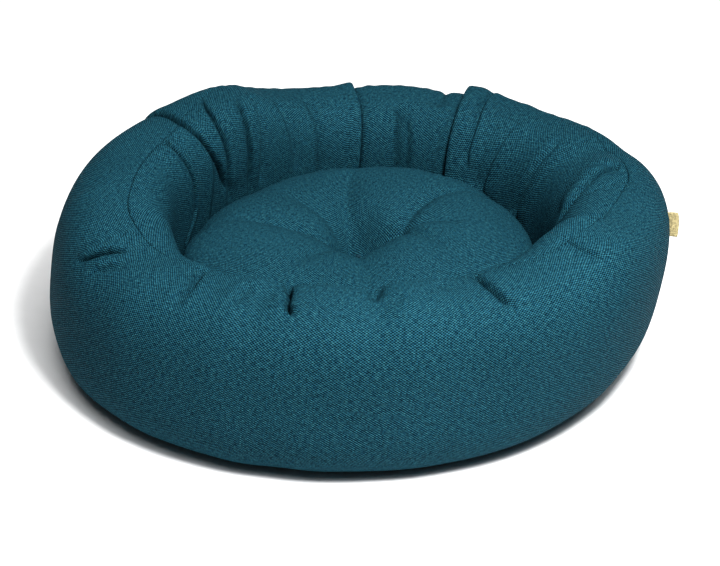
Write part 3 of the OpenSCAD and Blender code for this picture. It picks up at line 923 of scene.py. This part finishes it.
def label():
    """A folded, unprinted ribbon sewn into the joining seam."""
    height = np.linspace(-0.5, 0.5, 26)[:, None]
    fine = LABEL_AT + np.linspace(-20, 20, 201)
    far = lengths_down(ring_surface(np.full(201, JOIN_AT), fine, LABEL_IN))
    root_at = np.interp(far[100] + height[:, 0] * LABEL_H, far, fine)
    root = ring_surface(np.full(26, JOIN_AT), root_at, LABEL_IN)[:, None, :]
    up_ = unit(root[-1, 0] - root[0, 0])
    side = np.array([-math.sin(math.radians(JOIN_AT)), math.cos(math.radians(JOIN_AT)), 0])
    out = unit(np.cross(side, up_))
    t = np.linspace(-1, 1, 41)[None, :]
    leaf = np.abs(t) > LABEL_BEND
    bend = t / LABEL_BEND * math.pi / 2
    share = np.where(leaf, 1 - (np.abs(t) - LABEL_BEND) / (1 - LABEL_BEND), 1.0)
    reach = np.where(leaf, share * LABEL_OUT, LABEL_OUT + 0.6 * np.cos(bend))
    apart = np.where(leaf, np.sign(t) * (0.6 + 0.7 * np.sin(math.pi * share) ** 2),
                     0.6 * np.sin(bend))
    reach = reach - share * 2.4 * (0.5 - height) ** 1.3     # it is sewn in slightly askew
    sway = 1.6 * share ** 2 * np.sin(2.2 * height + 0.5)
    droop = -2.2 * share ** 1.5
    faces_ = []
    for thin in (1.0, 0.35):
        p = root + out * (reach - (1 - thin) * 0.5 * (~leaf))[..., None]
        p = p + side * (apart * thin + sway)[..., None] + up_ * (droop + 0 * height)[..., None]
        faces_.append(p)
    return shell("side_label_ribbon", faces_[0], faces_[1], RIBBON,
                 (t + 1) * (LABEL_OUT + 1), height * LABEL_H + 0 * t, wrap=False)


ribbon = done(label(), "side_label", "label_ribbon", "side_label")

# ---------------------------------------------------------------- cushion

CUSHION_AT = np.array([-10.0, 4.0])
EQUATOR = 72.0
CROWN = 166.0
CUSHION_FOOT = LINING_TOP + 0.8
WELL_GAP = 2.5


def bearing(x, y):
    """Degrees round, of an offset in plan from the cushion's middle."""
    return np.degrees(np.arctan2(y, x)) % 360


def well_outline():
    """Radius of the room that the ring leaves, by degree round the cushion's middle."""
    phi, theta = np.meshgrid(np.arange(0, 360, 1.0), np.arange(100, 249, 3.0))
    p = ring_surface(phi, theta, 0.0, False)[..., :2] - CUSHION_AT
    r = np.hypot(p[..., 0], p[..., 1])
    at = bearing(p[..., 0], p[..., 1])
    room = np.full(360, np.inf)
    np.minimum.at(room, at.ravel().astype(int), r.ravel())
    room = np.min([np.roll(room, k) for k in range(-4, 5)], axis=0)
    kernel = np.hanning(15) / np.hanning(15).sum()
    room = np.convolve(np.tile(room, 3), kernel, "same")[360:720]
    return room - WELL_GAP


ROOM = well_outline()
ROOM = np.append(ROOM, ROOM[0])


def room_at(degrees):
    return np.interp(degrees, np.arange(361), ROOM)


# Creases that run out from the tuft: points in plan, depth and half width, in mm
CREASES = [
    ([(-12, 4), (-22, 33), (-27, 76), (-21, 126), (-11, 175)], 32, 19),
    ([(-12, 4), (-50, 0), (-83, 5), (-124, 14), (-160, 24), (-205, 22)], 29, 13),
    ([(-12, 4), (29, 10), (47, 25), (68, 56), (97, 86), (131, 100), (185, 96)], 31, 12),
    ([(-12, 4), (35, 14), (60, 20), (94, 17), (140, 4)], 20, 9),
    ([(-12, 4), (39, 8), (60, -2), (79, -21), (98, -47), (118, -80)], 27, 10),
    ([(-12, 4), (-45, 34), (-80, 62), (-118, 95), (-160, 128)], 11, 12),
    ([(-12, 4), (-8, -50), (-2, -100), (4, -150)], 16, 13),
    ([(-12, 4), (-50, -45), (-92, -90), (-130, -125)], 9, 11),
]
TUFT_DEPTH = 50.0
CUSHION_TIPS = 30.0              # how much lower its near side has sunk
TUFT_REACH = 36.0


def route_distance(x, y, route):
    """Distance to a route in plan, and how far along it the nearest point is, from 0 to 1."""
    best = np.full(x.shape, 1e9)
    along = np.zeros(x.shape)
    points = np.array(route, float)
    lengths = np.linalg.norm(np.diff(points, axis=0), axis=1)
    before = lengths_down(points)
    for a, b, start, length in zip(points[:-1], points[1:], before, lengths):
        d = (b - a) / length
        t = np.clip((x - a[0]) * d[0] + (y - a[1]) * d[1], 0, length)
        distance = np.hypot(x - a[0] - d[0] * t, y - a[1] - d[1] * t)
        near = distance < best
        best = np.where(near, distance, best)
        along = np.where(near, (start + t) / before[-1], along)
    return best, along


def hollows(x, y):
    """How deep the tuft and its creases draw the cushion's top down, in mm."""
    r = np.hypot(x - CUSHION_AT[0], y - CUSHION_AT[1])
    depth = TUFT_DEPTH * bell(r, TUFT_REACH, 1.5)
    for route, deep, width in CREASES:
        distance, along = route_distance(x, y, route)
        depth = depth + deep * (1 - along) ** 1.15 * bell(distance, width, 1.4) * smooth(r / 30)
    return depth


def cushion_plain(phi_d, a_d, depth=0.0):
    """The cushion before it is puffed up: degrees round, and degrees from its edge to the middle
    of its top (90) or underside (-90)."""
    phi, a = np.radians(phi_d), np.radians(a_d)
    n = np.where(a_d > 0, 3.9, 3.2)
    s = (np.abs(np.cos(a)) ** n + np.abs(np.sin(a)) ** n) ** (-1 / n)
    r = (room_at(np.mod(phi_d, 360)) - depth) * s * np.cos(a)
    half = np.where(a_d > 0, CROWN - EQUATOR, EQUATOR - CUSHION_FOOT)
    z = EQUATOR + (half - depth) * s * np.sin(a)
    x = CUSHION_AT[0] + r * np.cos(phi)
    y = CUSHION_AT[1] + r * np.sin(phi)
    tipped = CUSHION_TIPS * smooth((-35 - (y - CUSHION_AT[1])) / 165)
    z = z - (hollows(x, y) + tipped) * smooth(a_d / 25)
    z = z + 9 * bell(r, 46) * smooth(-a_d / 25)
    return np.stack(np.broadcast_arrays(x, y, z), axis=-1)


EDGE_R = 230.0                   # about how far out its edge is, for the weave
EDGE_MM = 1.6                    # and how far one section degree reaches there
STARTS_IN = 7.0                  # how much smaller the cushion is before it is puffed up
EDGE_SOFT = 5.0                  # how gently it then meets the room that the ring leaves
PUFF_CAP = 15.0                  # and the most that any point then moves
PUFF_ROUND = np.arange(0, 361, 1.5)
PUFF_UP = np.arange(-90, 91, 2.0)
PUFF_FRAMES = 20
PUFF_SETTINGS = {"quality": 5, "mass": 0.15, "tension_stiffness": 15, "compression_stiffness": 15,
                 "shear_stiffness": 5, "bending_stiffness": 0.2, "use_pressure": True,
                 "uniform_pressure_force": 4, "shrink_min": -0.04, "vertex_group_mass": "pins"}


def puff_up():
    """Blows the cushion's cover up as cloth, held at its tuft. Gives how far the surface moved, on a
    grid of degrees round and degrees up."""
    grid = np.meshgrid(np.arange(0, 360, 3.0), np.linspace(-88.0, 88.0, 80))
    form = closed_skins("puff_form", [cushion_plain(*grid, STARTS_IN)], None, True)
    remesh = form.modifiers.new("remesh", "REMESH")
    remesh.mode = "VOXEL"
    remesh.voxel_size = 6 * MM
    graph = bpy.context.evaluated_depsgraph_get()
    mesh = bpy.data.meshes.new_from_object(form.evaluated_get(graph))
    bag = new_object("puff_bag", mesh)
    start = read(mesh.vertices, "co", 3)
    from_tuft = np.hypot(*(start[:, :2] / MM - CUSHION_AT).T)
    pins = bag.vertex_groups.new(name="pins")
    for k in np.nonzero(from_tuft < 12)[0]:
        pins.add([int(k)], 1.0, "REPLACE")
    sheet = bag.modifiers.new("cloth", "CLOTH")
    for key, value in PUFF_SETTINGS.items():
        setattr(sheet.settings, key, value)
    sheet.settings.effector_weights.gravity = 0
    sheet.collision_settings.use_collision = False
    sheet.point_cache.frame_start, sheet.point_cache.frame_end = 1, PUFF_FRAMES
    for frame_at in range(1, PUFF_FRAMES + 1):
        bpy.context.scene.frame_set(frame_at)
    graph = bpy.context.evaluated_depsgraph_get()
    blown = bag.evaluated_get(graph).to_mesh()
    moved = (read(blown.vertices, "co", 3) - start) / MM
    bpy.context.scene.frame_set(1)
    far = np.linalg.norm(moved, axis=1, keepdims=True)
    moved = moved * np.minimum(1, PUFF_CAP / np.maximum(far, 1e-6))
    tree = kdtree.KDTree(len(start))
    for k, v in enumerate(start):
        tree.insert(v, k)
    tree.balance()
    bpy.data.objects.remove(bag)
    bpy.data.objects.remove(form)
    where = cushion_plain(*np.meshgrid(PUFF_ROUND, PUFF_UP), STARTS_IN)
    out = np.zeros(where.shape)
    for i, j in np.ndindex(where.shape[:2]):
        near = tree.find_n(where[i, j] * MM, 6)
        weight = np.array([1 / (d + 0.002) for _, _, d in near])
        out[i, j] = (moved[[k for _, k, _ in near]] * weight[:, None]).sum(axis=0) / weight.sum()
    out[:, -1] = out[:, 0]
    return out


PUFF = puff_up()


def cushion_form(phi_d, a_d, depth=0.0):
    """The cushion's form at a depth under its cover's face, inside the room that the ring leaves."""
    if PUFF is None:
        return cushion_plain(phi_d, a_d, depth)
    p = cushion_plain(phi_d, a_d, STARTS_IN + depth)
    i = (np.asarray(a_d) - PUFF_UP[0]) / (PUFF_UP[1] - PUFF_UP[0])
    j = np.mod(phi_d, 360) / PUFF_ROUND[1]
    i, j = np.broadcast_arrays(i, j)
    i0 = np.clip(i.astype(int), 0, len(PUFF_UP) - 2)
    j0 = np.clip(j.astype(int), 0, len(PUFF_ROUND) - 2)
    s, t = (i - i0)[..., None], (j - j0)[..., None]
    low = PUFF[i0, j0] * (1 - t) + PUFF[i0, j0 + 1] * t
    high = PUFF[i0 + 1, j0] * (1 - t) + PUFF[i0 + 1, j0 + 1] * t
    p = p + low * (1 - s) + high * s
    x, y = p[..., 0] - CUSHION_AT[0], p[..., 1] - CUSHION_AT[1]
    r = np.hypot(x, y)
    room = room_at(bearing(x, y))
    left = EDGE_SOFT * np.logaddexp(0, (room - depth - r) / EDGE_SOFT)
    squeeze = (room - depth - left) / np.maximum(r, 1)
    p[..., 0] = CUSHION_AT[0] + x * squeeze
    p[..., 1] = CUSHION_AT[1] + y * squeeze
    p[..., 2] = np.maximum(p[..., 2], CUSHION_FOOT + depth)
    return p


def cushion_rows(side, count):
    """Section angles from the edge to the middle, closer together at both."""
    t = np.linspace(0, 1, count)
    beside = np.array([0, 0.35, 0.8, 1.5, 2.5])
    rest = beside[-1] + (89.5 - beside[-1]) * (t[1:] * 0.7 + 0.3 * smooth(t[1:]))
    return side * np.concatenate([beside, rest])


def cushion_shape(phi_d, a_d, depth=0.0):
    """The finished cushion at a depth under its cloth's face."""
    p = cushion_form(phi_d, a_d, depth)
    at = bearing(p[..., 0] - CUSHION_AT[0], p[..., 1] - CUSHION_AT[1])
    beside = np.abs(a_d) * EDGE_MM
    ripple = 0.55 * np.cos(np.radians(at) * 61) + 0.45 * np.cos(np.radians(at) * 97 + 1)
    pressed = groove(beside, 2.0, 1.1, 1.3) + groove(beside, 1.2, 7, 2)
    pressed = pressed + 0.9 * ripple * bell(beside - 5, 7)
    out = np.stack([np.cos(np.radians(at)), np.sin(np.radians(at)), 0 * at], axis=-1)
    return p + out * (pressed * np.ones(at.shape))[..., None]


phi = np.arange(480) * 0.75
for side, name, node, count in ((1, "cushion_top", "cushion_top_panel", 68),
                                (-1, "cushion_underside", "cushion_underside_panel", 40)):
    a = cushion_rows(side, count)
    if len(a) % 2 == 0:
        a = np.delete(a, 1)
    front, back = [cushion_shape(*np.meshgrid(phi, a), depth) for depth in (0, CLOTH_T)]
    if side < 0:
        front, back = front[:, ::-1], back[:, ::-1]
    far = lengths_down(front)
    far = far[-1:] - far
    ang = np.radians(phi[::side])[None, :]
    piece = fine_shell(name, front, back, TEAL, far * np.cos(ang), far * np.sin(ang))
    done(piece, "cushion", "cover_cloth", node, fill=0.85)


def cushion_skins(name, depths, material):
    grid = np.meshgrid(np.arange(180) * 2.0, np.linspace(-89, 89, 61))
    return closed_skins(name, [cushion_form(*grid, depth) for depth in depths], material, True)


done(cushion_skins("cushion_casing_bag", (CASING_IN + 2, CASING_IN + 2 + CASING_T), CASING),
     "cushion", "casing_cloth", "cushion_casing", fill=0.85)
done(cushion_skins("cushion_stuffing", (CASING_IN + 3.2,), STUFFING), "cushion", "stuffing",
     "cushion_filling", fill=0.85)

strips = []
for side in (-1, 1):
    a = side * np.array([0.4, 1.5, 4.0, 6.5])[::side]
    front, back = [cushion_shape(*np.meshgrid(phi, a), depth) for depth in (TURN_IN, TURN_IN + TURN_T)]
    strips.append(shell("strip", front, back, TEAL, np.radians(phi)[None, :] * EDGE_R))
done(joined("cushion_seam_edges", strips, TEAL), "cushion", "cover_cloth",
     "cushion_seam_allowance")
swing = swings(420)
path = cushion_shape(np.arange(len(swing)) * 360 / len(swing), 0.45 * swing, THREAD_IN)
sew("cushion_seam_stitches", "cushion_seam_thread", path, body="cushion")


def tuft():
    """Twine through the cushion's middle: three strands, with a knot at each end."""
    strand_r, apart = 0.55, 2.09
    top = float(cushion_shape(np.zeros(1), np.full(1, 89.5))[0, 2])
    foot_ = float(cushion_shape(np.zeros(1), np.full(1, -89.5))[0, 2])
    z = np.linspace(foot_ - 0.5, top + 0.5, 40)
    twist = np.linspace(0, 40, 40)
    strands = [np.stack([CUSHION_AT[0] + strand_r * np.cos(twist + k * apart),
                         CUSHION_AT[1] + strand_r * np.sin(twist + k * apart), z], axis=-1)
               for k in range(3)]
    for at, up_ in ((top + 1.2, 1), (foot_ - 1.0, -1)):
        t = np.linspace(0, 4 * math.pi, 60)
        r = 1.7 + 0.9 * np.cos(1.5 * t)
        strands.append(np.stack([CUSHION_AT[0] + r * np.cos(t), CUSHION_AT[1] + r * np.sin(t),
                                 at + 0.8 * up_ * np.sin(1.5 * t)], axis=-1))
    return tube("tuft_cord", strands, 0.95, 7, THREAD)


done(tuft(), "cushion", "thread", "tuft_twine")

# ---------------------------------------------------------------- stage, lights and camera

g = Graph("floor")
grain = g.ramp(g.noise(g.place(), 40.0), 0.3, 0.7, 0.90, 0.92)
FLOOR = 30.0 / MM
floor = make_object("floor", [(-FLOOR, -FLOOR, 0), (FLOOR, -FLOOR, 0), (FLOOR, FLOOR, 0),
                              (-FLOOR, FLOOR, 0)], [(0, 1, 2, 3)],
                    material=g.finish(Base_Color=grain, Roughness=0.9))

scene = bpy.context.scene
scene.view_settings.view_transform = "Standard"
scene.view_settings.look = "Medium High Contrast"
world = bpy.data.worlds.new("studio")
scene.world = world
world.use_nodes = True
backdrop = world.node_tree.nodes["Background"].inputs
backdrop["Color"].default_value = (1, 1, 1, 1)
backdrop["Strength"].default_value = 0.045


def lamp(name, kind, at, to, **settings):
    """A lamp that stands at one point and shines towards another."""
    data = bpy.data.lights.new(name, kind)
    for key, value in settings.items():
        setattr(data, key, value)
    obj = new_object(name, data)
    obj.location = at
    obj.rotation_euler = (Vector(at) - Vector(to)).to_track_quat("Z", "Y").to_euler()


lamp("overhead", "SUN", (0.14, -0.20, 1.0), (0, 0, 0), angle=math.radians(50), energy=2.2)
lamp("key", "AREA", (0.46, -0.96, 1.75), (0, -0.2, 0.2), shape="DISK", size=0.45, energy=51)

ELEVATION = math.radians(29.55)
DISTANCE = 2.5454 * SLACK
TARGET = Vector(((SHIFT[0] - LEAN[0] * MID_Z) * MM, (SHIFT[1] - LEAN[1] * MID_Z) * MM,
                 MID_Z * MM))
cam_data = bpy.data.cameras.new("camera")
cam_data.lens = 93.6
cam_data.sensor_width = 36
cam_data.shift_x = 0.0172
cam_data.shift_y = -0.0426
cam = new_object("camera", cam_data)
cam.location = TARGET + Vector((0, -math.cos(ELEVATION), math.sin(ELEVATION))) * DISTANCE
cam.rotation_euler = (TARGET - cam.location).to_track_quat("-Z", "Y").to_euler()
scene.camera = cam
